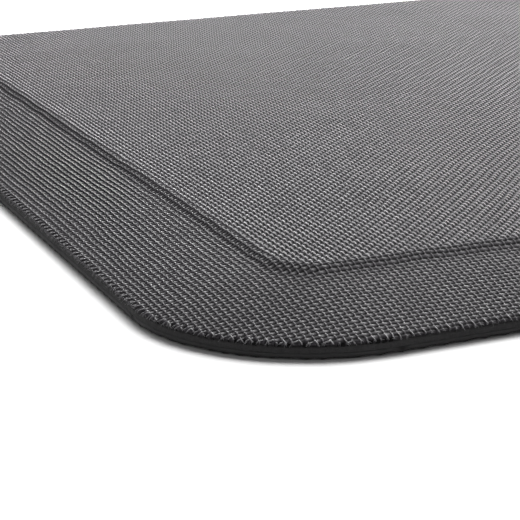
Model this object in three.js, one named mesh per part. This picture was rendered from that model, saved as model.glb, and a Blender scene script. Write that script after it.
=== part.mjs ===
// Anti-fatigue floor mat with a woven top, drawn in millimetres, +Z up.
//
// The mat is a flat laminate that was pressed hot: a thick foam slab is bonded
// between a woven top cloth and a grippy base sheet, and the press leaves a
// raised standing panel in the middle, a short ramp round it, and a border
// that slopes down to a low cut edge, so that a foot or a chair rolls over it.
//
// Frame: the origin is the centre of the underside, +X runs along the long
// side, +Y along the short side, +Z points up from the floor.

import * as THREE from 'three';
import { mergeVertices } from 'three/addons/utils/BufferGeometryUtils.js';

// ---------------------------------------------------------------- dimensions
const LENGTH = 762;          // long side, along X (30 in)
const DEPTH = 457;           // short side, along Y (18 in)
const THICKNESS = 12.7;      // floor to the top of the standing panel (1/2 in)
const CORNER_R = 50;         // radius of the four outer corners, in plan
const CORNER_STEPS = 14;     // facets on each quarter turn

const EDGE_HEIGHT = 4.5;     // floor to the cloth at the cut edge
const BEVEL_WIDTH = 34.6;    // cut edge to the foot of the ramp
const RAMP_WIDTH = 4.2;      // foot of the ramp to its shoulder
const PANEL_RISE = 1.8;      // foot of the ramp to the standing panel
const SHOULDER = 2.2;        // soft rounding of the panel's rim

const BASE_T = 1.4;          // grip base sheet
const BASE_CHAMFER = 0.4;    // small chamfer under the base's cut edge
const FILM_T = 0.15;         // hot-melt bonding films
const COVER_T = 0.9;         // woven cover, two crossed yarns thick
const GLUE_GAP = 0.05;       // room left at each bonded face
const WALL_DRAFT = 0.35;     // the foam's cut wall sits this far inside the cloth

// ------------------------------------------------------- the top's cross-section
// Pairs of [distance in from the cut edge, height of the cloth above the floor].
const FOOT_Z = THICKNESS - PANEL_RISE;
const bevelZ = (t) => EDGE_HEIGHT + (FOOT_Z - EDGE_HEIGHT) * t;
const TOP_PROFILE = [
  [0.0, EDGE_HEIGHT - 0.35],                        // cloth turns down at the cut
  [1.2, bevelZ(1.2 / BEVEL_WIDTH)],
  [BEVEL_WIDTH * 0.35, bevelZ(0.35) + 0.16],        // faint crown across the bevel
  [BEVEL_WIDTH * 0.7, bevelZ(0.7) + 0.16],
  [BEVEL_WIDTH - 1.2, bevelZ(1 - 1.2 / BEVEL_WIDTH)],
  [BEVEL_WIDTH, FOOT_Z],                            // foot of the ramp
  [BEVEL_WIDTH + RAMP_WIDTH * 0.35, FOOT_Z + PANEL_RISE * 0.42],
  [BEVEL_WIDTH + RAMP_WIDTH * 0.8, FOOT_Z + PANEL_RISE * 0.86],
  [BEVEL_WIDTH + RAMP_WIDTH, FOOT_Z + PANEL_RISE * 0.95],
  [BEVEL_WIDTH + RAMP_WIDTH + SHOULDER, THICKNESS], // flat standing panel
];

// A rounded rectangle, counter-clockwise, `inset` inside the mat's outline.
// Every ring has the same number of points, so rings join one to one.
function outline(inset) {
  const r = CORNER_R - inset;
  const cx = LENGTH / 2 - CORNER_R;
  const cy = DEPTH / 2 - CORNER_R;
  const points = [];
  const corners = [
    [cx, cy, 0],
    [-cx, cy, Math.PI / 2],
    [-cx, -cy, Math.PI],
    [cx, -cy, (3 * Math.PI) / 2],
  ];
  for (const [x, y, start] of corners) {
    const arc = new THREE.ArcCurve(x, y, r, start, start + Math.PI / 2, false);
    points.push(...arc.getPoints(CORNER_STEPS));
  }
  return points;
}

// Closes a stack of rings into one body: the first ring is capped by a fan
// round `firstCentre`, the last by a fan round `lastCentre`. The rings run from
// the underside's centre outwards, up the wall, and back to the top's centre.
function ringBody(rings) {
  const n = rings[0].points.length;
  const position = [];
  const index = [];
  for (const { points, z } of rings) {
    for (const p of points) position.push(p.x, p.y, z);
  }
  const bottom = position.length / 3;
  position.push(0, 0, rings[0].z);
  const top = bottom + 1;
  position.push(0, 0, rings[rings.length - 1].z);
  for (let k = 0; k < rings.length - 1; k += 1) {
    for (let i = 0; i < n; i += 1) {
      const j = (i + 1) % n;
      const a = k * n + i;
      const b = k * n + j;
      const c = (k + 1) * n + j;
      const d = (k + 1) * n + i;
      index.push(a, b, c, a, c, d);
    }
  }
  const last = (rings.length - 1) * n;
  for (let i = 0; i < n; i += 1) {
    const j = (i + 1) % n;
    index.push(bottom, j, i);
    index.push(top, last + i, last + j);
  }
  const geometry = new THREE.BufferGeometry();
  geometry.setAttribute('position', new THREE.Float32BufferAttribute(position, 3));
  geometry.setIndex(index);
  const merged = mergeVertices(geometry, 1e-5);
  merged.computeVertexNormals();
  return merged;
}

const ring = (inset, z) => ({ points: outline(inset), z });

// A sheet that lies under the cloth at a constant depth: its top is `down` below
// the cloth's surface and it is `thick` deep. `edge` trims its outer border.
function drapedSheet(down, thick, edge) {
  const profile = TOP_PROFILE.map(([d, z]) => [Math.max(d, edge), z - down]);
  const under = profile
    .map(([d, z]) => ring(d, z - thick))
    .reverse();
  const over = profile.map(([d, z]) => ring(d, z));
  return ringBody([...under, ...over]);
}

// --------------------------------------------------------------- the five layers
const mat = new THREE.Group();

function add(name, geometry, colour, roughness) {
  const material = new THREE.MeshStandardMaterial({ color: colour, roughness, metalness: 0 });
  const mesh = new THREE.Mesh(geometry, material);
  mesh.name = name;
  mat.add(mesh);
  return mesh;
}

// Woven cover: coated yarns in a plain weave, one cloth from cut edge to cut edge.
add('woven_cover', drapedSheet(0, COVER_T, 0), 0x5f5e60, 0.55);

// Film that bonds the cover to the foam.
const coverFilmDown = COVER_T + GLUE_GAP;
add('cover_bond_film', drapedSheet(coverFilmDown, FILM_T, WALL_DRAFT), 0x2b2b2c, 0.4);

// Foam core: flat below, pressed to the raised panel and sloped border above.
const foamDown = coverFilmDown + FILM_T + GLUE_GAP;
const foamBottom = BASE_T + GLUE_GAP + FILM_T + GLUE_GAP;
const foamTop = TOP_PROFILE.map(([d, z]) => ring(Math.max(d, WALL_DRAFT), z - foamDown));
add('foam_core', ringBody([ring(WALL_DRAFT, foamBottom), ...foamTop]), 0x303031, 0.95);

// Film that bonds the foam to the base.
const filmBottom = BASE_T + GLUE_GAP;
add(
  'base_bond_film',
  ringBody([ring(WALL_DRAFT, filmBottom), ring(WALL_DRAFT, filmBottom + FILM_T)]),
  0x2b2b2c,
  0.4,
);

// Grip base: a flat rubbery sheet, the face that the mat lies on.
add(
  'grip_base',
  ringBody([ring(BASE_CHAMFER, 0), ring(0, BASE_CHAMFER), ring(0, BASE_T)]),
  0x262627,
  0.85,
);

export default mat;
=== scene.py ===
# Anti-fatigue mat: the looks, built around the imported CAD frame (Blender 4.5, metres).
#
# The mat is a laminate. The CAD holds five plain layers. Here the woven cover gets its
# yarns, the cut edge gets its yarn ends, the foam gets its cut wall and the grip base
# gets its studded underside. The two bonding films stay as the CAD made them.
import math

import bpy
import numpy as np
from mathutils import Matrix, Vector


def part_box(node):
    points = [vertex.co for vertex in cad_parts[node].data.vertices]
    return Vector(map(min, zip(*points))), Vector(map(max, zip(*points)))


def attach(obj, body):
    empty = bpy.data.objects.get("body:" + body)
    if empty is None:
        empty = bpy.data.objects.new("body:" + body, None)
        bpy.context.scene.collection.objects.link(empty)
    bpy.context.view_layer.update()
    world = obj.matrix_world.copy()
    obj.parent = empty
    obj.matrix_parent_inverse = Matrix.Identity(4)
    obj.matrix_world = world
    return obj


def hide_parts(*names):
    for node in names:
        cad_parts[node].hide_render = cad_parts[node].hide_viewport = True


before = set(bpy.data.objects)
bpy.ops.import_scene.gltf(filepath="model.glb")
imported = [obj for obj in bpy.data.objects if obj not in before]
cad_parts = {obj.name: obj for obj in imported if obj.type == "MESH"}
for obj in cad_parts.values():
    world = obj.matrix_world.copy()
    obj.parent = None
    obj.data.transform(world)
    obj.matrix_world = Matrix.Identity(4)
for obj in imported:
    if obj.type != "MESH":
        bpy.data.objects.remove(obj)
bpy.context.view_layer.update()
MM = 0.001

# ------------------------------------------------------------------ sizes, from the frame
low, high = (np.array(c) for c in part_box("woven_cover"))
base_low, base_high = (np.array(c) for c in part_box("grip_base"))
foam_low, foam_high = (np.array(c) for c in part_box("foam_core"))
HX, HY = high[0] / MM, high[1] / MM          # half length and half depth, mm
TOP = high[2] / MM                           # standing panel
CORNER_R = 50.0
EDGE_H = 4.5
BEVEL_W, RAMP_W, RISE, SHOULDER = 34.6, 4.2, 1.8, 2.2
FOOT = TOP - RISE
BASE_T = base_high[2] / MM
WARP_PITCH = 1.687                           # spacing of the yarns that run along Y, mm
WEFT_PITCH = 1.628                           # spacing of the yarns that run along X, mm
WARP_CRIMP, WEFT_CRIMP = 0.17, 0.12          # how far a yarn rises and falls at the crossings, mm
WARP_T, WEFT_T = 0.26, 0.28                  # how far a yarn stands above its own middle, mm
WARP_W, WEFT_W = 0.18, 0.38                  # half widths of the yarns, in spacings
GAP = 0.15                                   # depth of the open places between the yarns, mm
CREST = WARP_CRIMP + WARP_T
LOFT_FROM, LOFT_TO = BEVEL_W + 0.5 * RAMP_W, BEVEL_W + RAMP_W + SHOULDER
rng = np.random.default_rng(7)


def inset(x, y):
    """Distance in from the mat's outline, a rounded rectangle, mm."""
    qx, qy = np.abs(x) - (HX - CORNER_R), np.abs(y) - (HY - CORNER_R)
    outside = np.hypot(np.maximum(qx, 0), np.maximum(qy, 0))
    return CORNER_R - outside - np.minimum(np.maximum(qx, qy), 0)


def bevel(t):
    return EDGE_H + (FOOT - EDGE_H) * t


PROFILE = np.array([
    [0.0, EDGE_H - 0.35], [1.2, bevel(1.2 / BEVEL_W)],
    [BEVEL_W * 0.35, bevel(0.35) + 0.16], [BEVEL_W * 0.7, bevel(0.7) + 0.16],
    [BEVEL_W - 1.2, bevel(1 - 1.2 / BEVEL_W)], [BEVEL_W, FOOT],
    [BEVEL_W + RAMP_W * 0.35, FOOT + RISE * 0.42], [BEVEL_W + RAMP_W * 0.8, FOOT + RISE * 0.86],
    [BEVEL_W + RAMP_W, FOOT + RISE * 0.95], [BEVEL_W + RAMP_W + SHOULDER, TOP], [400, TOP],
])
_d = np.arange(-3, 60, 0.05)
_z = np.interp(_d, PROFILE[:, 0], PROFILE[:, 1])
_k = np.hanning(35)
_zs = np.convolve(_z, _k / _k.sum(), mode="same")
_zs[:80] = _z[:80]
_zs[-40:] = TOP


def top_z(d):
    """Height of the cloth's mid surface at a distance d in from the edge, mm."""
    return np.interp(d, _d, _zs)


def waves(x, y, seed, reach, n=10):
    """A smooth random field of about unit size with features about `reach` mm wide."""
    r = np.random.default_rng(seed)
    out = np.zeros(np.broadcast(x, y).shape)
    for _ in range(n):
        a = r.uniform(0, 2 * math.pi)
        k = 2 * math.pi / reach * r.uniform(0.5, 1.4)
        out = out + np.sin(k * (np.cos(a) * x + np.sin(a) * y) + r.uniform(0, 2 * math.pi))
    return out / math.sqrt(n / 2)


def weave(u, v):
    """Height of the plain weave's upper surface at lattice place (u, v), mm. Yarns that run along Y sit at whole u, yarns that run along X at whole v."""
    iu, iv = np.round(u), np.round(v)
    pu, pv = np.cos(math.pi * iu), np.cos(math.pi * iv)
    xw, xf = (u - iu) / WARP_W, (v - iv) / WEFT_W
    hw = WARP_CRIMP * np.cos(math.pi * v) * pu + WARP_T * np.sqrt(np.clip(1 - xw**2, 0, 1))
    hf = -WEFT_CRIMP * np.cos(math.pi * u) * pv + WEFT_T * np.sqrt(np.clip(1 - xf**2, 0, 1))
    return np.maximum(np.where(np.abs(xw) < 1, hw, -GAP), np.where(np.abs(xf) < 1, hf, -GAP))


# ------------------------------------------------------------------ mesh helpers
def mesh_object(name, points_mm, faces, smooth=True, uv=None, attributes=None):
    """A mesh object from points in mm and an array, or a list of arrays, of faces."""
    groups = faces if isinstance(faces, list) else [faces]
    groups = [np.asarray(f, np.int64) for f in groups if len(f)]
    me = bpy.data.meshes.new(name)
    pts = np.asarray(points_mm, float) * MM
    me.vertices.add(len(pts))
    me.vertices.foreach_set("co", pts.astype(np.float32).ravel())
    flat = np.concatenate([f.ravel() for f in groups]).astype(np.int32)
    sizes = np.concatenate([np.full(len(f), f.shape[1]) for f in groups]).astype(np.int32)
    starts = np.concatenate([[0], np.cumsum(sizes)[:-1]]).astype(np.int32)
    me.loops.add(len(flat))
    me.loops.foreach_set("vertex_index", flat)
    me.polygons.add(len(sizes))
    me.polygons.foreach_set("loop_start", starts)
    me.polygons.foreach_set("loop_total", sizes)
    if uv is not None:
        layer = me.uv_layers.new(name="yarn")
        layer.data.foreach_set("uv", np.asarray(uv, np.float32)[flat].ravel())
    me.update(calc_edges=True)
    me.validate()
    if smooth:
        me.polygons.foreach_set("use_smooth", np.ones(len(me.polygons), bool))
    for key, values in (attributes or {}).items():
        a = me.attributes.new(key, "FLOAT", "POINT")
        a.data.foreach_set("value", np.asarray(values, np.float32))
    me.update()
    ob = bpy.data.objects.new(name, me)
    bpy.context.scene.collection.objects.link(ob)
    return ob


def outline_points(step):
    """Points round the mat's outline, counter-clockwise, about `step` mm apart, with their outward normals and the distance run."""
    segs = []
    cx, cy = HX - CORNER_R, HY - CORNER_R
    for k, (x, y) in enumerate([(cx, cy), (-cx, cy), (-cx, -cy), (cx, -cy)]):
        n = max(8, int(round(CORNER_R * math.pi / 2 / step)))
        a = k * math.pi / 2 + np.linspace(0, math.pi / 2, n, endpoint=False)
        segs.append(np.c_[x + CORNER_R * np.cos(a), y + CORNER_R * np.sin(a), np.cos(a), np.sin(a)])
        length = 2 * (cx if k % 2 == 0 else cy)
        m = max(4, int(round(length / step)))
        t = np.linspace(0, 1, m, endpoint=False)
        b = (k + 1) * math.pi / 2
        sx, sy = x + CORNER_R * math.cos(b), y + CORNER_R * math.sin(b)
        dirx, diry = -math.sin(b), math.cos(b)
        segs.append(np.c_[sx + dirx * length * t, sy + diry * length * t, np.full(m, math.cos(b)), np.full(m, math.sin(b))])
    p = np.concatenate(segs)
    run = np.concatenate([[0], np.cumsum(np.hypot(*np.diff(p[:, :2], axis=0).T))])
    return p[:, 0], p[:, 1], p[:, 2], p[:, 3], run


# ------------------------------------------------------------------ woven cover
# A grid that follows the yarns all over the mat, so that every crossing is real relief:
# three lines to each yarn that runs along Y (its crest and its two feet) and two to each
# that runs along X (its crest and the open place beside it).
def lines(total, pitch, offsets):
    """Grid lines across one axis, in yarn spacings from the near edge."""
    cells = np.arange(-1, int(total / pitch) + 3)
    return (cells[:, None] + np.array(offsets)[None]).ravel()


def drift(u, v):
    """How a pressed cloth's yarns wander from a perfect lattice, mm."""
    return (0.55 * waves(u, v, 11, 95) + 0.10 * waves(u, v, 15, 9), 0.5 * waves(u, v, 12, 90) + 0.10 * waves(u, v, 16, 9))


lu, lv = lines(2 * HX, WARP_PITCH, (-0.23, 0.0, 0.23)), lines(2 * HY, WEFT_PITCH, (0.0, 0.5))
UU, VV = np.meshgrid(lu, lv, indexing="xy")
dx, dy = drift(UU, VV)
rim_hold = np.clip(inset(UU * WARP_PITCH - HX, VV * WEFT_PITCH - HY) / 8.0, 0, 1)
X = UU * WARP_PITCH - HX + dx * rim_hold
Y = VV * WEFT_PITCH - HY + dy * rim_hold
D = inset(X, Y)
inside = D > -0.02
quad_ok = inside[:-1, :-1] & inside[1:, :-1] & inside[1:, 1:] & inside[:-1, 1:]
ny, nx = X.shape
ids = np.arange(nx * ny).reshape(ny, nx)
quads = np.stack([ids[:-1, :-1], ids[:-1, 1:], ids[1:, 1:], ids[1:, :-1]], -1)[quad_ok]
x, y = X.ravel().copy(), Y.ravel().copy()
# Boundary points move out to the exact outline, so that the cut is clean round the corners.
edges = np.concatenate([quads[:, [0, 1]], quads[:, [1, 2]], quads[:, [2, 3]], quads[:, [3, 0]]])
key = np.sort(edges, 1)
_, first, uses = np.unique(key[:, 0] * (nx * ny) + key[:, 1], return_index=True, return_counts=True)
rim = edges[first[uses == 1]]
rim_points = np.unique(rim)
for _ in range(3):
    rx, ry = x[rim_points], y[rim_points]
    d = inset(rx, ry)
    e = 0.01
    gx = (inset(rx + e, ry) - inset(rx - e, ry)) / (2 * e)
    gy = (inset(rx, ry + e) - inset(rx, ry - e)) / (2 * e)
    g = np.maximum(np.hypot(gx, gy), 1e-6)
    move = (d < 4.0) * d / g
    x[rim_points], y[rim_points] = rx - gx / g * move, ry - gy / g * move
U, V = UU.ravel(), VV.ravel()
d = np.clip(inset(x, y), 0, None)


z = top_z(d) - 0.02 + 0.04 * waves(x, y, 13, 60) * np.clip(d / 6, 0, 1)
# The cloth keeps its full loft on the panel and is pressed flatter over the border.
loft = np.clip((d - LOFT_FROM) / (LOFT_TO - LOFT_FROM), 0, 1)
z = z + (weave(U, V) - CREST) * (0.82 + 0.68 * loft)
used, inverse = np.unique(quads, return_inverse=True)
remap = np.full(nx * ny, -1)
remap[used] = np.arange(len(used))
top_points = np.c_[x, y, z][used]
top_quads = remap[quads]
rim = remap[rim]
# The cut edge: the cloth's thickness, turned down and a little under.
rim_ids = np.unique(rim)
slot_of = np.full(len(used), -1)
slot_of[rim_ids] = np.arange(len(rim_ids))
px, py, pz = top_points[rim_ids].T
e = 0.01
gx = (inset(px + e, py) - inset(px - e, py)) / (2 * e)
gy = (inset(px, py + e) - inset(px, py - e)) / (2 * e)
wob = 0.10 * waves(px, py, 14, 3.2)
skirt = []
for down, inward in ((0.30, -0.06), (0.62, 0.05), (0.80, 0.55)):
    skirt.append(np.c_[px + gx * (inward + wob * (down > 0.4)), py + gy * (inward + wob * (down > 0.4)), np.minimum(pz, EDGE_H - 0.1) - down])
n_top = len(top_points)
rows = [rim_ids] + [n_top + k * len(rim_ids) + np.arange(len(rim_ids)) for k in range(3)]
skirt_quads = []
for k in range(3):
    a, b = slot_of[rim[:, 0]], slot_of[rim[:, 1]]
    skirt_quads.append(np.c_[rows[k][b], rows[k][a], rows[k + 1][a], rows[k + 1][b]])
cover_points = np.concatenate([top_points] + skirt)
cu = np.concatenate([U[used]] + [U[used][rim_ids]] * 3)
cv = np.concatenate([V[used]] + [V[used][rim_ids]] * 3)
cut = np.concatenate([np.zeros(n_top)] + [np.full(len(rim_ids), c) for c in (0.5, 1.0, 1.0)])
cd = np.concatenate([d[used]] + [np.zeros(len(rim_ids))] * 3)
cover = mesh_object("woven_cloth", cover_points, [top_quads] + skirt_quads,
                    uv=np.c_[cu, cv], attributes={"cut": cut, "from_edge": cd})

# ------------------------------------------------------------------ cut yarn ends
# Every yarn that meets the cut stands a little proud of it: a short stub that turns down,
# and a few loose filaments.
def tubes(paths, radii, sides):
    """One mesh of tapering tubes. paths is (n, steps, 3) mm, radii is (n, steps) mm."""
    n, s, _ = paths.shape
    t = np.gradient(paths, axis=1)
    t /= np.maximum(np.linalg.norm(t, axis=2, keepdims=True), 1e-9)
    up = np.zeros_like(t)
    up[..., 2] = 1
    side = np.cross(t, up)
    side /= np.maximum(np.linalg.norm(side, axis=2, keepdims=True), 1e-9)
    other = np.cross(side, t)
    a = np.arange(sides) / sides * 2 * math.pi
    ringp = paths[:, :, None] + radii[:, :, None, None] * (
        np.cos(a)[None, None, :, None] * side[:, :, None] + 0.8 * np.sin(a)[None, None, :, None] * other[:, :, None])
    tip = paths[:, -1] + t[:, -1] * radii[:, -1, None] * 0.6
    tail = paths[:, 0] - t[:, 0] * radii[:, 0, None] * 0.2
    per = s * sides + 2
    pts = np.concatenate([ringp.reshape(n, s * sides, 3), tip[:, None], tail[:, None]], 1).reshape(-1, 3)
    q, tri = [], []
    for i in range(s - 1):
        for j in range(sides):
            k = (j + 1) % sides
            q.append([i * sides + j, (i + 1) * sides + j, (i + 1) * sides + k, i * sides + k])
    for j in range(sides):
        k = (j + 1) % sides
        tri.append([(s - 1) * sides + j, s * sides, (s - 1) * sides + k])
        tri.append([j, k, s * sides + 1])
    off = (np.arange(n) * per)[:, None, None]
    return pts, (np.array(q)[None] + off).reshape(-1, 4), (np.array(tri)[None] + off).reshape(-1, 3)


def cut_places():
    """Where each yarn meets the outline: x, y, the yarn's outward direction, and its own height there."""
    out = []
    nw, nf = int(2 * HX / WARP_PITCH), int(2 * HY / WEFT_PITCH)
    for i in range(1, nw + 1):
        xx = -HX + i * WARP_PITCH
        qx = abs(xx) - (HX - CORNER_R)
        yy = HY if qx <= 0 else HY - CORNER_R + math.sqrt(max(CORNER_R**2 - qx * qx, 0))
        for s in (-1, 1):
            out.append((xx, s * yy, 0, s, i))
    for j in range(1, nf + 1):
        yy = -HY + j * WEFT_PITCH
        qy = abs(yy) - (HY - CORNER_R)
        xx = HX if qy <= 0 else HX - CORNER_R + math.sqrt(max(CORNER_R**2 - qy * qy, 0))
        for s in (-1, 1):
            out.append((s * xx, yy, s, 0, j))
    return np.array(out, float)


cuts = cut_places()
n = len(cuts)
over = np.where(cuts[:, 4] % 2 == 0, 1.0, 0.0)           # every second yarn ends on top
gx = -(inset(cuts[:, 0] + e, cuts[:, 1]) - inset(cuts[:, 0] - e, cuts[:, 1])) / (2 * e)
gy = -(inset(cuts[:, 0], cuts[:, 1] + e) - inset(cuts[:, 0], cuts[:, 1] - e)) / (2 * e)
dirs = np.c_[cuts[:, 2], cuts[:, 3]]
length = np.where(over > 0, rng.uniform(0.25, 1.0, n), rng.uniform(0.0, 0.45, n)) + 0.25 * rng.random(n) ** 4
steps = 5
along = np.linspace(-1.3, 1, steps)
paths = np.zeros((n, steps, 3))
turn = rng.normal(0, 0.25, n)
for k, a in enumerate(along):
    reach = np.where(a < 0, a * 1.0, a * length)
    sidew = np.maximum(a, 0) * turn * length
    paths[:, k, 0] = cuts[:, 0] + dirs[:, 0] * reach - dirs[:, 1] * sidew
    paths[:, k, 1] = cuts[:, 1] + dirs[:, 1] * reach + dirs[:, 0] * sidew
    droop = np.maximum(a, 0) ** 1.5 * length * rng.uniform(0.35, 0.95, n)
    paths[:, k, 2] = EDGE_H - 0.42 + over * 0.20 - 0.10 * (1 - over) - droop + 0.16 * np.minimum(a, 0) * -1
radii = np.full((n, steps), 0.21) * rng.uniform(0.8, 1.1, n)[:, None]
radii[:, -1] *= 0.72
stub_pts, stub_q, stub_t = tubes(paths, radii, 6)
# loose filaments
m = 4 * n
pick = rng.integers(0, n, m)
fl = rng.uniform(0.3, 1.1, m) * rng.uniform(0.5, 1.0, m)
fpaths = np.zeros((m, 4, 3))
ang = rng.normal(0, 0.55, m)
fdir = np.c_[dirs[pick, 0] * np.cos(ang) - dirs[pick, 1] * np.sin(ang), dirs[pick, 0] * np.sin(ang) + dirs[pick, 1] * np.cos(ang)]
lift = rng.uniform(-0.9, 0.25, m)
start = paths[pick, -2] + rng.normal(0, 0.12, (m, 3)) * [1, 1, 0.6]
for k in range(4):
    a = k / 3
    fpaths[:, k, :2] = start[:, :2] + fdir * (fl * a)[:, None]
    fpaths[:, k, 2] = start[:, 2] + lift * fl * a - 0.35 * fl * a * a
fradii = np.tile(np.array([0.05, 0.045, 0.04, 0.02]), (m, 1))
fil_pts, fil_q, fil_t = tubes(fpaths, fradii, 3)
ends_pts = np.concatenate([stub_pts, fil_pts])
ends_pts[:, 2] = np.maximum(ends_pts[:, 2], 0.4)
loose = np.concatenate([np.zeros(len(stub_pts)), np.ones(len(fil_pts))])
yarn_ends = mesh_object("cut_yarn_ends", ends_pts,
                        [stub_q, stub_t, fil_q + len(stub_pts), fil_t + len(stub_pts)],
                        attributes={"loose": loose})

# ------------------------------------------------------------------ foam core
ox, oy, nxx, nyy, run = outline_points(0.8)
P = len(ox)


def wall_ring(inward, height, seed, rough, scale=2.2):
    w = rough * (waves(ox, oy, seed, scale) + 0.5 * waves(ox, oy, seed + 50, scale * 0.37))
    w = np.clip(w, -2.2 * rough, 2.2 * rough)
    return np.c_[ox - nxx * (inward + w), oy - nyy * (inward + w), np.full(P, height)]


def lofted(name, rings, cap_first=True, cap_last=True, attributes=None):
    """Joins rings of P points into one closed mesh, from the underside's middle outwards and back over the top."""
    pts = np.concatenate(rings)
    i = np.arange(P)
    j = (i + 1) % P
    quads_ = [np.c_[k * P + i, k * P + j, (k + 1) * P + j, (k + 1) * P + i] for k in range(len(rings) - 1)]
    groups = list(quads_)
    extra = []
    if cap_first:
        c = len(pts) + len(extra)
        extra.append([0, 0, rings[0][0, 2]])
        groups.append(np.c_[np.full(P, c), j, i])
    if cap_last:
        c = len(pts) + len(extra)
        extra.append([0, 0, rings[-1][0, 2]])
        last = (len(rings) - 1) * P
        groups.append(np.c_[np.full(P, c), last + i, last + j])
    if extra:
        pts = np.concatenate([pts, np.array(extra, float)])
    return mesh_object(name, pts, groups)


def plain_ring(inward, height):
    # rings far inside keep their corners, so the cap stays flat and even
    cxr, cyr = HX - CORNER_R, HY - CORNER_R
    r = CORNER_R - inward
    qx, qy = ox - nxx * inward, oy - nyy * inward
    if inward > CORNER_R:
        f = (HX - inward) / (HX - CORNER_R)
        qx, qy = (ox - nxx * CORNER_R) * f, (oy - nyy * CORNER_R) * f
    return np.c_[qx, qy, np.full(P, height)]


FOAM_B = foam_low[2] / MM
foam_rings = [plain_ring(60, FOAM_B), plain_ring(2.5, FOAM_B)]
wall_top = EDGE_H - 1.30
for k, (h, inn) in enumerate([(FOAM_B, 0.31), (FOAM_B - 0.22, 0.28), (FOAM_B - 0.225, 0.07), (FOAM_B - 0.1, 0.05), (FOAM_B + 0.4, 0.08), (FOAM_B + 0.9, 0.15), (wall_top - 0.05, 0.27), (wall_top, 0.60)]):
    foam_rings.append(wall_ring(inn, h, 21 + (k > 3), 0.02 if k < 3 else 0.05))
for dd in (3.0, 12.0, 24.0, 33.0, 36.0, 38.5, 41.0, 46.0):
    foam_rings.append(plain_ring(dd, float(np.interp(dd, PROFILE[:, 0], PROFILE[:, 1])) - 1.22))
foam = lofted("cushion_foam", foam_rings)

# ------------------------------------------------------------------ grip base
# A flat rubbery sheet with staggered low studs underneath, moulded in one with it.
STUD, STUD_H = 5.7, 0.45


def stud_z(xx, yy):
    c = np.cos(2 * math.pi * (xx + HX) / STUD) * np.cos(2 * math.pi * (yy + HY) / STUD)
    s = np.clip(0.42 + 0.62 * c, 0, 1)
    s = s * s * (3 - 2 * s)
    return STUD_H * (1 - s)


bx = np.linspace(-HX, HX, 402)
by = np.linspace(-HY, HY, 241)
BX, BY = np.meshgrid(bx, by, indexing="xy")
inn = inset(BX, BY) > -1e-6
ok = inn[:-1, :-1] & inn[1:, :-1] & inn[1:, 1:] & inn[:-1, 1:]
bi = np.arange(BX.size).reshape(BX.shape)
bq = np.stack([bi[:-1, :-1], bi[1:, :-1], bi[1:, 1:], bi[:-1, 1:]], -1)[ok]
xx, yy = BX.ravel().copy(), BY.ravel().copy()
ed = np.concatenate([bq[:, [0, 1]], bq[:, [1, 2]], bq[:, [2, 3]], bq[:, [3, 0]]])
ky = np.sort(ed, 1)
_, f1, u1 = np.unique(ky[:, 0] * BX.size + ky[:, 1], return_index=True, return_counts=True)
brim = ed[f1[u1 == 1]]
bp = np.unique(brim)
for _ in range(3):
    rx, ry = xx[bp], yy[bp]
    dd_ = inset(rx, ry)
    gx_ = (inset(rx + e, ry) - inset(rx - e, ry)) / (2 * e)
    gy_ = (inset(rx, ry + e) - inset(rx, ry - e)) / (2 * e)
    gg = np.maximum(np.hypot(gx_, gy_), 1e-6)
    mv = (dd_ < 4.0) * dd_ / gg
    xx[bp], yy[bp] = rx - gx_ / gg * mv, ry - gy_ / gg * mv
under_z = stud_z(xx, yy)
usedb = np.unique(bq)
rb = np.full(BX.size, -1)
rb[usedb] = np.arange(len(usedb))
bpts = np.c_[xx, yy, under_z][usedb]
bq, brim = rb[bq], rb[brim]
bids = np.unique(brim)
so = np.full(len(usedb), -1)
so[bids] = np.arange(len(bids))
qx_, qy_, qz_ = bpts[bids].T
gx_ = (inset(qx_ + e, qy_) - inset(qx_ - e, qy_)) / (2 * e)
gy_ = (inset(qx_, qy_ + e) - inset(qx_, qy_ - e)) / (2 * e)
rowsb, layers = [bids], []
nb = len(bpts)
for k, (h, i_) in enumerate([(0.30, -0.0), (0.85, 0.02), (1.0, 0.05), (1.0, 3.0)]):
    hz = qz_ + (BASE_T - qz_) * h if k < 2 else np.full(len(qz_), BASE_T - (0.01 if k == 2 else 0.0))
    layers.append(np.c_[qx_ + gx_ * i_, qy_ + gy_ * i_, hz])
    rowsb.append(nb + k * len(bids) + np.arange(len(bids)))
wallq = []
for k in range(4):
    a, b = so[brim[:, 0]], so[brim[:, 1]]
    wallq.append(np.c_[rowsb[k][b], rowsb[k][a], rowsb[k + 1][a], rowsb[k + 1][b]])
centre = nb + 4 * len(bids)
allp = np.concatenate([bpts] + layers + [np.array([[0, 0, BASE_T]])])
a, b = so[brim[:, 0]], so[brim[:, 1]]
capt = np.c_[rowsb[4][b], rowsb[4][a], np.full(len(a), centre)]
base = mesh_object("studded_base", allp, [bq] + wallq + [capt])

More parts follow.
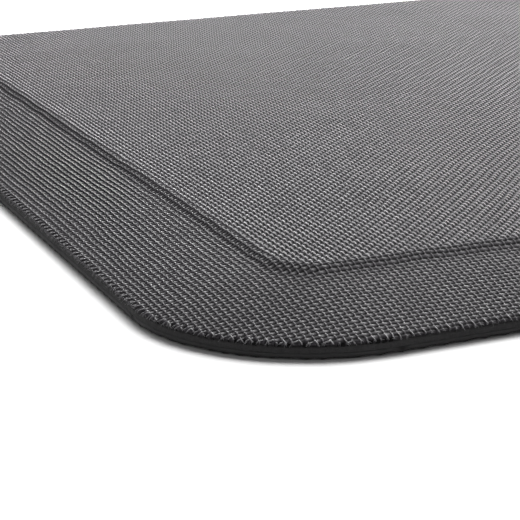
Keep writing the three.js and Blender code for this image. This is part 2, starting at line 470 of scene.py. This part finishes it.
# ------------------------------------------------------------------ materials
class Nodes:
    """Short names for building a node tree."""

    def __init__(self, name):
        self.mat = bpy.data.materials.new(name)
        self.mat.use_nodes = True
        self.t = self.mat.node_tree
        self.t.nodes.clear()
        self.out = self.t.nodes.new("ShaderNodeOutputMaterial")
        self.p = self.t.nodes.new("ShaderNodeBsdfPrincipled")
        self.t.links.new(self.p.outputs[0], self.out.inputs["Surface"])

    def put(self, socket, value):
        if isinstance(value, (int, float)):
            socket.default_value = value
        elif isinstance(value, (tuple, list)):
            socket.default_value = value
        elif value is not None:
            self.t.links.new(value, socket)

    def m(self, op, a, b=None, c=None, clamp=False):
        nd = self.t.nodes.new("ShaderNodeMath")
        nd.operation = op
        nd.use_clamp = clamp
        for s, val in zip(nd.inputs, (a, b, c)):
            if val is not None:
                self.put(s, val)
        return nd.outputs[0]

    def node(self, kind, inputs=None, **props):
        nd = self.t.nodes.new(kind)
        for k, val in props.items():
            setattr(nd, k, val)
        for k, val in (inputs or {}).items():
            self.put(nd.inputs[k], val)
        return nd

    def noise(self, vector, scale, detail=2.0, rough=0.5):
        return self.node("ShaderNodeTexNoise", {"Vector": vector, "Scale": scale, "Detail": detail, "Roughness": rough}).outputs["Fac"]

    def ramp(self, value, lo, hi, out_lo=0.0, out_hi=1.0, smooth=True):
        nd = self.node("ShaderNodeMapRange", {"Value": value, "From Min": lo, "From Max": hi, "To Min": out_lo, "To Max": out_hi})
        nd.interpolation_type = "SMOOTHSTEP" if smooth else "LINEAR"
        return nd.outputs["Result"]

    def mix(self, fac, a, b):
        nd = self.t.nodes.new("ShaderNodeMix")
        nd.data_type = "RGBA"
        self.put(nd.inputs[0], fac)
        self.put(nd.inputs[6], a)
        self.put(nd.inputs[7], b)
        return nd.outputs[2]

    def scale_colour(self, colour, factor):
        nd = self.t.nodes.new("ShaderNodeVectorMath")
        nd.operation = "SCALE"
        self.put(nd.inputs[0], colour)
        self.put(nd.inputs["Scale"], factor)
        return nd.outputs[0]

    def stretch(self, vector, scale):
        return self.node("ShaderNodeMapping", {"Vector": vector, "Scale": scale}).outputs[0]


def yarn_material():
    s = Nodes("coated_yarn_weave")
    m = s.m
    uv = s.node("ShaderNodeUVMap", uv_map="yarn").outputs[0]
    obj = s.node("ShaderNodeTexCoord").outputs["Object"]
    sep = s.node("ShaderNodeSeparateXYZ", {0: uv})
    u, v = sep.outputs[0], sep.outputs[1]
    iu, iv = m("ROUND", u), m("ROUND", v)
    du, dv = m("SUBTRACT", u, iu), m("SUBTRACT", v, iv)
    pu, pv = m("COSINE", m("MULTIPLY", iu, math.pi)), m("COSINE", m("MULTIPLY", iv, math.pi))
    cw = m("MULTIPLY", m("COSINE", m("MULTIPLY", v, math.pi)), pu)
    cf = m("MULTIPLY", m("MULTIPLY", m("COSINE", m("MULTIPLY", u, math.pi)), pv), -1.0)
    xw, xf = m("DIVIDE", du, WARP_W), m("DIVIDE", dv, WEFT_W)
    pw = m("SQRT", m("SUBTRACT", 1.0, m("MULTIPLY", xw, xw), clamp=True))
    pf = m("SQRT", m("SUBTRACT", 1.0, m("MULTIPLY", xf, xf), clamp=True))
    hw = m("MULTIPLY_ADD", cw, WARP_CRIMP, m("MULTIPLY", pw, WARP_T))
    hf = m("MULTIPLY_ADD", cf, WEFT_CRIMP, m("MULTIPLY", pf, WEFT_T))
    out_w = m("GREATER_THAN", m("ABSOLUTE", xw), 1.0)
    out_f = m("GREATER_THAN", m("ABSOLUTE", xf), 1.0)
    hw = m("SUBTRACT", hw, m("MULTIPLY", out_w, 5.0))
    hf = m("SUBTRACT", hf, m("MULTIPLY", out_f, 5.0))
    h = m("MAXIMUM", m("MAXIMUM", hw, hf), -GAP)
    is_warp = m("GREATER_THAN", hw, hf)
    # own shade of each yarn, and slow variation over the cloth
    own_w = s.node("ShaderNodeTexWhiteNoise", {"W": iu}, noise_dimensions="1D").outputs[0]
    own_f = s.node("ShaderNodeTexWhiteNoise", {"W": m("ADD", iv, 5000.0)}, noise_dimensions="1D").outputs[0]
    own = m("ADD", m("MULTIPLY", own_w, is_warp), m("MULTIPLY", own_f, m("SUBTRACT", 1.0, is_warp)))
    shade = m("MULTIPLY_ADD", own, 0.16, 0.92)
    slow = s.noise(obj, 14.0, 3.0, 0.55)
    shade = m("MULTIPLY", shade, m("MULTIPLY_ADD", slow, 0.20, 0.90))
    # the coating: fine mottle along each yarn
    grain = s.noise(s.stretch(obj, (1.0, 1.0, 1.0)), 3800.0, 2.0, 0.6)
    shade = m("MULTIPLY", shade, m("MULTIPLY_ADD", grain, 0.30, 0.85))
    # Painted shade: the weave's low places, its gaps and the yarns' flanks, are darkened by their height h, down to 3
    # per cent. On the panel the ramp starts higher, for deeper painted shade, and the panel is painted up to twice as
    # bright as the border, a painted light for the back light's sheen on it.
    edge = s.node("ShaderNodeAttribute", attribute_name="from_edge").outputs["Fac"]
    loft = s.ramp(edge, LOFT_FROM, LOFT_TO)
    painted_gap_shade_and_panel_light = s.ramp(h, m("MULTIPLY_ADD", loft, 0.34, -0.12), m("MULTIPLY_ADD", loft, 0.02, 0.41), 0.03, 1.0, smooth=False)
    painted_gap_shade_and_panel_light = m("MULTIPLY", painted_gap_shade_and_panel_light, m("MULTIPLY_ADD", loft, 1.0, 1.0))
    shade = m("MULTIPLY", shade, painted_gap_shade_and_panel_light)
    # painted highlight: each crossing's crest is mixed towards a lighter grey, where the back light glints
    painted_crest_highlight = s.ramp(h, 0.34, 0.46, 0.0, 1.0)
    warp_tint, weft_tint = (0.055, 0.0502, 0.0574, 1), (0.051, 0.0466, 0.0532, 1)
    colour = s.mix(is_warp, weft_tint, warp_tint)
    colour = s.mix(m("MULTIPLY", painted_crest_highlight, 0.35), colour, (0.072, 0.0665, 0.075, 1))
    # Lighter within 1.6 mm of the edge. The turned-down cut edge, where the cut attribute is set, is darkened to about
    # a quarter, a painted shadow under the cloth's edge.
    tone_and_painted_shade = s.ramp(edge, 0.0, 1.6, 1.15, 1.0)
    painted_cut_shade_mask = s.node("ShaderNodeAttribute", attribute_name="cut").outputs["Fac"]
    tone_and_painted_shade = m("MULTIPLY", tone_and_painted_shade, m("MULTIPLY_ADD", painted_cut_shade_mask, -0.72, 1.0))
    colour = s.scale_colour(colour, m("MULTIPLY", shade, tone_and_painted_shade))
    s.put(s.p.inputs["Base Color"], colour)
    rough = m("ADD", s.ramp(h, 0.20, 0.42, 0.80, 0.38), m("MULTIPLY", m("SUBTRACT", grain, 0.5), 0.25))
    s.put(s.p.inputs["Roughness"], rough)
    s.p.inputs["Specular IOR Level"].default_value = 0.18
    fine = s.node("ShaderNodeBump", {"Strength": 0.35, "Distance": 0.00006, "Height": grain})
    bump = s.node("ShaderNodeBump", {"Strength": m("MULTIPLY_ADD", loft, 0.15, 0.85), "Distance": 0.0012, "Height": h, "Normal": fine.outputs[0]})
    s.put(s.p.inputs["Normal"], bump.outputs[0])
    return s.mat


def ends_material():
    s = Nodes("cut_yarn")
    obj = s.node("ShaderNodeTexCoord").outputs["Object"]
    loose_a = s.node("ShaderNodeAttribute", attribute_name="loose").outputs["Fac"]
    g = s.noise(obj, 2600.0, 3.0, 0.6)
    per = s.noise(obj, 420.0, 1.0)
    colour = s.mix(loose_a, (0.115, 0.111, 0.117, 1), (0.19, 0.185, 0.193, 1))
    colour = s.scale_colour(colour, s.m("MULTIPLY", s.m("MULTIPLY_ADD", g, 0.6, 0.7), s.m("MULTIPLY_ADD", per, 1.0, 0.5)))
    s.put(s.p.inputs["Base Color"], colour)
    s.put(s.p.inputs["Roughness"], s.m("MULTIPLY_ADD", g, 0.2, 0.5))
    b = s.node("ShaderNodeBump", {"Strength": 0.6, "Distance": 0.00008, "Height": g})
    s.put(s.p.inputs["Normal"], b.outputs[0])
    return s.mat


def foam_material():
    s = Nodes("cut_foam")
    obj = s.node("ShaderNodeTexCoord").outputs["Object"]
    streak = s.noise(s.stretch(obj, (1, 1, 0.16)), 1500.0, 3.0, 0.62)
    pores = s.node("ShaderNodeTexVoronoi", {"Vector": obj, "Scale": 2600.0}).outputs["Distance"]
    slow = s.noise(obj, 60.0, 2.0)
    shade = s.m("MULTIPLY", s.m("MULTIPLY_ADD", streak, 1.3, 0.35), s.m("MULTIPLY_ADD", slow, 0.5, 0.75))
    # painted shade: the pores, pits in the bump, are darker towards their middles
    shade = s.m("MULTIPLY", shade, s.ramp(pores, 0.05, 0.5, 0.7, 1.05))
    colour = s.scale_colour((0.030, 0.029, 0.030), shade)
    s.put(s.p.inputs["Base Color"], colour)
    s.put(s.p.inputs["Roughness"], s.m("MULTIPLY_ADD", streak, 0.15, 0.78))
    hgt = s.m("ADD", s.m("MULTIPLY", streak, 0.8), s.m("MULTIPLY", pores, 0.4))
    b = s.node("ShaderNodeBump", {"Strength": 0.8, "Distance": 0.00022, "Height": hgt})
    s.put(s.p.inputs["Normal"], b.outputs[0])
    return s.mat


def base_material():
    s = Nodes("moulded_grip_rubber")
    obj = s.node("ShaderNodeTexCoord").outputs["Object"]
    grain = s.noise(obj, 2200.0, 3.0, 0.6)
    slow = s.noise(obj, 22.0, 3.0, 0.55)
    scuff = s.noise(s.stretch(obj, (1, 0.25, 1)), 260.0, 4.0, 0.6)
    shade = s.m("MULTIPLY", s.m("MULTIPLY_ADD", grain, 0.4, 0.8), s.m("MULTIPLY_ADD", slow, 0.5, 0.75))
    z_ = s.node("ShaderNodeSeparateXYZ", {0: obj}).outputs[2]
    # the stud tips are lighter where they are worn; no painted shade here
    tone_and_painted_shade = s.ramp(z_, 0.0, 0.00025, 1.35, 1.0)
    colour = s.scale_colour((0.027, 0.0265, 0.0275), s.m("MULTIPLY", shade, tone_and_painted_shade))
    s.put(s.p.inputs["Base Color"], colour)
    s.put(s.p.inputs["Roughness"], s.m("ADD", s.m("MULTIPLY_ADD", grain, 0.2, 0.48), s.m("MULTIPLY", scuff, 0.12)))
    hgt = s.m("ADD", s.m("MULTIPLY", grain, 0.6), s.m("MULTIPLY", scuff, 0.5))
    b = s.node("ShaderNodeBump", {"Strength": 0.5, "Distance": 0.00012, "Height": hgt})
    s.put(s.p.inputs["Normal"], b.outputs[0])
    return s.mat


def film_material():
    s = Nodes("hot_melt_film")
    obj = s.node("ShaderNodeTexCoord").outputs["Object"]
    web = s.noise(obj, 700.0, 4.0, 0.65)
    slow = s.noise(obj, 30.0, 2.0)
    colour = s.scale_colour((0.026, 0.026, 0.027), s.m("MULTIPLY", s.m("MULTIPLY_ADD", web, 0.6, 0.7), s.m("MULTIPLY_ADD", slow, 0.3, 0.85)))
    s.put(s.p.inputs["Base Color"], colour)
    s.put(s.p.inputs["Roughness"], s.m("MULTIPLY_ADD", web, 0.25, 0.3))
    b = s.node("ShaderNodeBump", {"Strength": 0.4, "Distance": 0.00008, "Height": web})
    s.put(s.p.inputs["Normal"], b.outputs[0])
    return s.mat


yarn_mat, ends_mat, foam_mat, base_mat, film_mat = yarn_material(), ends_material(), foam_material(), base_material(), film_material()
cover.data.materials.append(yarn_mat)
yarn_ends.data.materials.append(ends_mat)
foam.data.materials.append(foam_mat)
base.data.materials.append(base_mat)
for node in ("cover_bond_film", "base_bond_film"):
    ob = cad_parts[node]
    if not ob.material_slots:
        ob.data.materials.append(film_mat)
    for slot_ in ob.material_slots:
        slot_.material = film_mat

# ------------------------------------------------------------------ what moves and what stands for what
for piece in (cover, yarn_ends, foam, base):
    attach(piece, "root")
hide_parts("woven_cover")
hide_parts("foam_core")
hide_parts("grip_base")

# ------------------------------------------------------------------ floor, light and camera
def simple(name, colour, rough):
    s = Nodes(name)
    s.p.inputs["Base Color"].default_value = (*colour, 1)
    s.p.inputs["Roughness"].default_value = rough
    s.p.inputs["Specular IOR Level"].default_value = 0.1
    return s.mat


floor_me = bpy.data.meshes.new("floor")
floor_me.from_pydata([(-12, -12, 0), (12, -12, 0), (12, 12, 0), (-12, 12, 0)], [], [(0, 1, 2, 3)])
floor = bpy.data.objects.new("floor", floor_me)
bpy.context.scene.collection.objects.link(floor)
floor.location.z = -0.0002
floor_mat = simple("pale_floor", (0.97, 0.97, 0.97), 0.9)
ft = floor_mat.node_tree
# far from the mat the paper sweep is lit by itself, so it stays as pale as it is near by
place_f = ft.nodes.new("ShaderNodeTexCoord")
reach_f = ft.nodes.new("ShaderNodeVectorMath")
reach_f.operation = "LENGTH"
far_f = ft.nodes.new("ShaderNodeMapRange")
far_f.inputs["From Min"].default_value, far_f.inputs["From Max"].default_value = 0.75, 2.4
far_f.inputs["To Max"].default_value = 1.0
ft.links.new(place_f.outputs["Object"], reach_f.inputs[0])
ft.links.new(reach_f.outputs["Value"], far_f.inputs["Value"])
floor_bsdf = [nd for nd in ft.nodes if nd.type == "BSDF_PRINCIPLED"][0]
floor_bsdf.inputs["Emission Color"].default_value = (1, 1, 1, 1)
ft.links.new(far_f.outputs["Result"], floor_bsdf.inputs["Emission Strength"])
floor_me.materials.append(floor_mat)


def area(name, loc, target, size, power, colour=(1, 1, 1), size_y=None):
    li = bpy.data.lights.new(name, "AREA")
    li.energy = power
    li.color = colour
    li.size = size
    if size_y:
        li.shape = "RECTANGLE"
        li.size_y = size_y
    ob_ = bpy.data.objects.new(name, li)
    bpy.context.scene.collection.objects.link(ob_)
    ob_.location = loc
    ob_.rotation_euler = (Vector(target) - Vector(loc)).to_track_quat("-Z", "Y").to_euler()
    return ob_


corner = Vector((-0.30, -0.15, 0.01))
low = area("low_back", corner + Vector((0.52, 0.81, 0.27)) * 3.0, corner, 1.6, 88, size_y=0.6)
tall = area("high_back", corner + Vector((0.46, 0.56, 0.88)) * 2.6, corner, 2.6, 160, size_y=2.0)
for lamp in (low, tall):
    lamp.visible_camera = False

world = bpy.data.worlds.new("studio")
bpy.context.scene.world = world
world.use_nodes = True
wt = world.node_tree
wt.nodes.clear()
soft, paper = wt.nodes.new("ShaderNodeBackground"), wt.nodes.new("ShaderNodeBackground")
soft.inputs[0].default_value, soft.inputs[1].default_value = (1, 1, 1, 1), 0.16
paper.inputs[0].default_value, paper.inputs[1].default_value = (1, 1, 1, 1), 1.0
pick_world, path = wt.nodes.new("ShaderNodeMixShader"), wt.nodes.new("ShaderNodeLightPath")
wt.links.new(path.outputs["Is Camera Ray"], pick_world.inputs[0])
wt.links.new(soft.outputs[0], pick_world.inputs[1])
wt.links.new(paper.outputs[0], pick_world.inputs[2])
wt.links.new(pick_world.outputs[0], wt.nodes.new("ShaderNodeOutputWorld").inputs[0])

bpy.context.scene.view_settings.view_transform = "Standard"
bpy.context.scene.view_settings.look = "None"

cam_data = bpy.data.cameras.new("camera")
cam = bpy.data.objects.new("camera", cam_data)
bpy.context.scene.collection.objects.link(cam)
cam_data.sensor_width = 36
cam_data.sensor_fit = "HORIZONTAL"
cam_data.lens = 1800 / 520 * 36
cam_data.clip_start, cam_data.clip_end = 0.01, 50
right, up, back = Vector((0.9212, -0.3879, -0.0177)), Vector((0.1285, 0.2610, 0.9568)), Vector((-0.3674, -0.8840, 0.2903))
back.normalize()
right = (right - back * right.dot(back)).normalized()
up = back.cross(right)
place = Vector((-HX - 137.14, -HY - 364.63, 147.83)) * MM
rot = Matrix((right, up, back)).transposed().to_4x4()
cam.matrix_world = Matrix.Translation(place) @ rot
bpy.context.scene.camera = cam

bpy.context.view_layer.update()
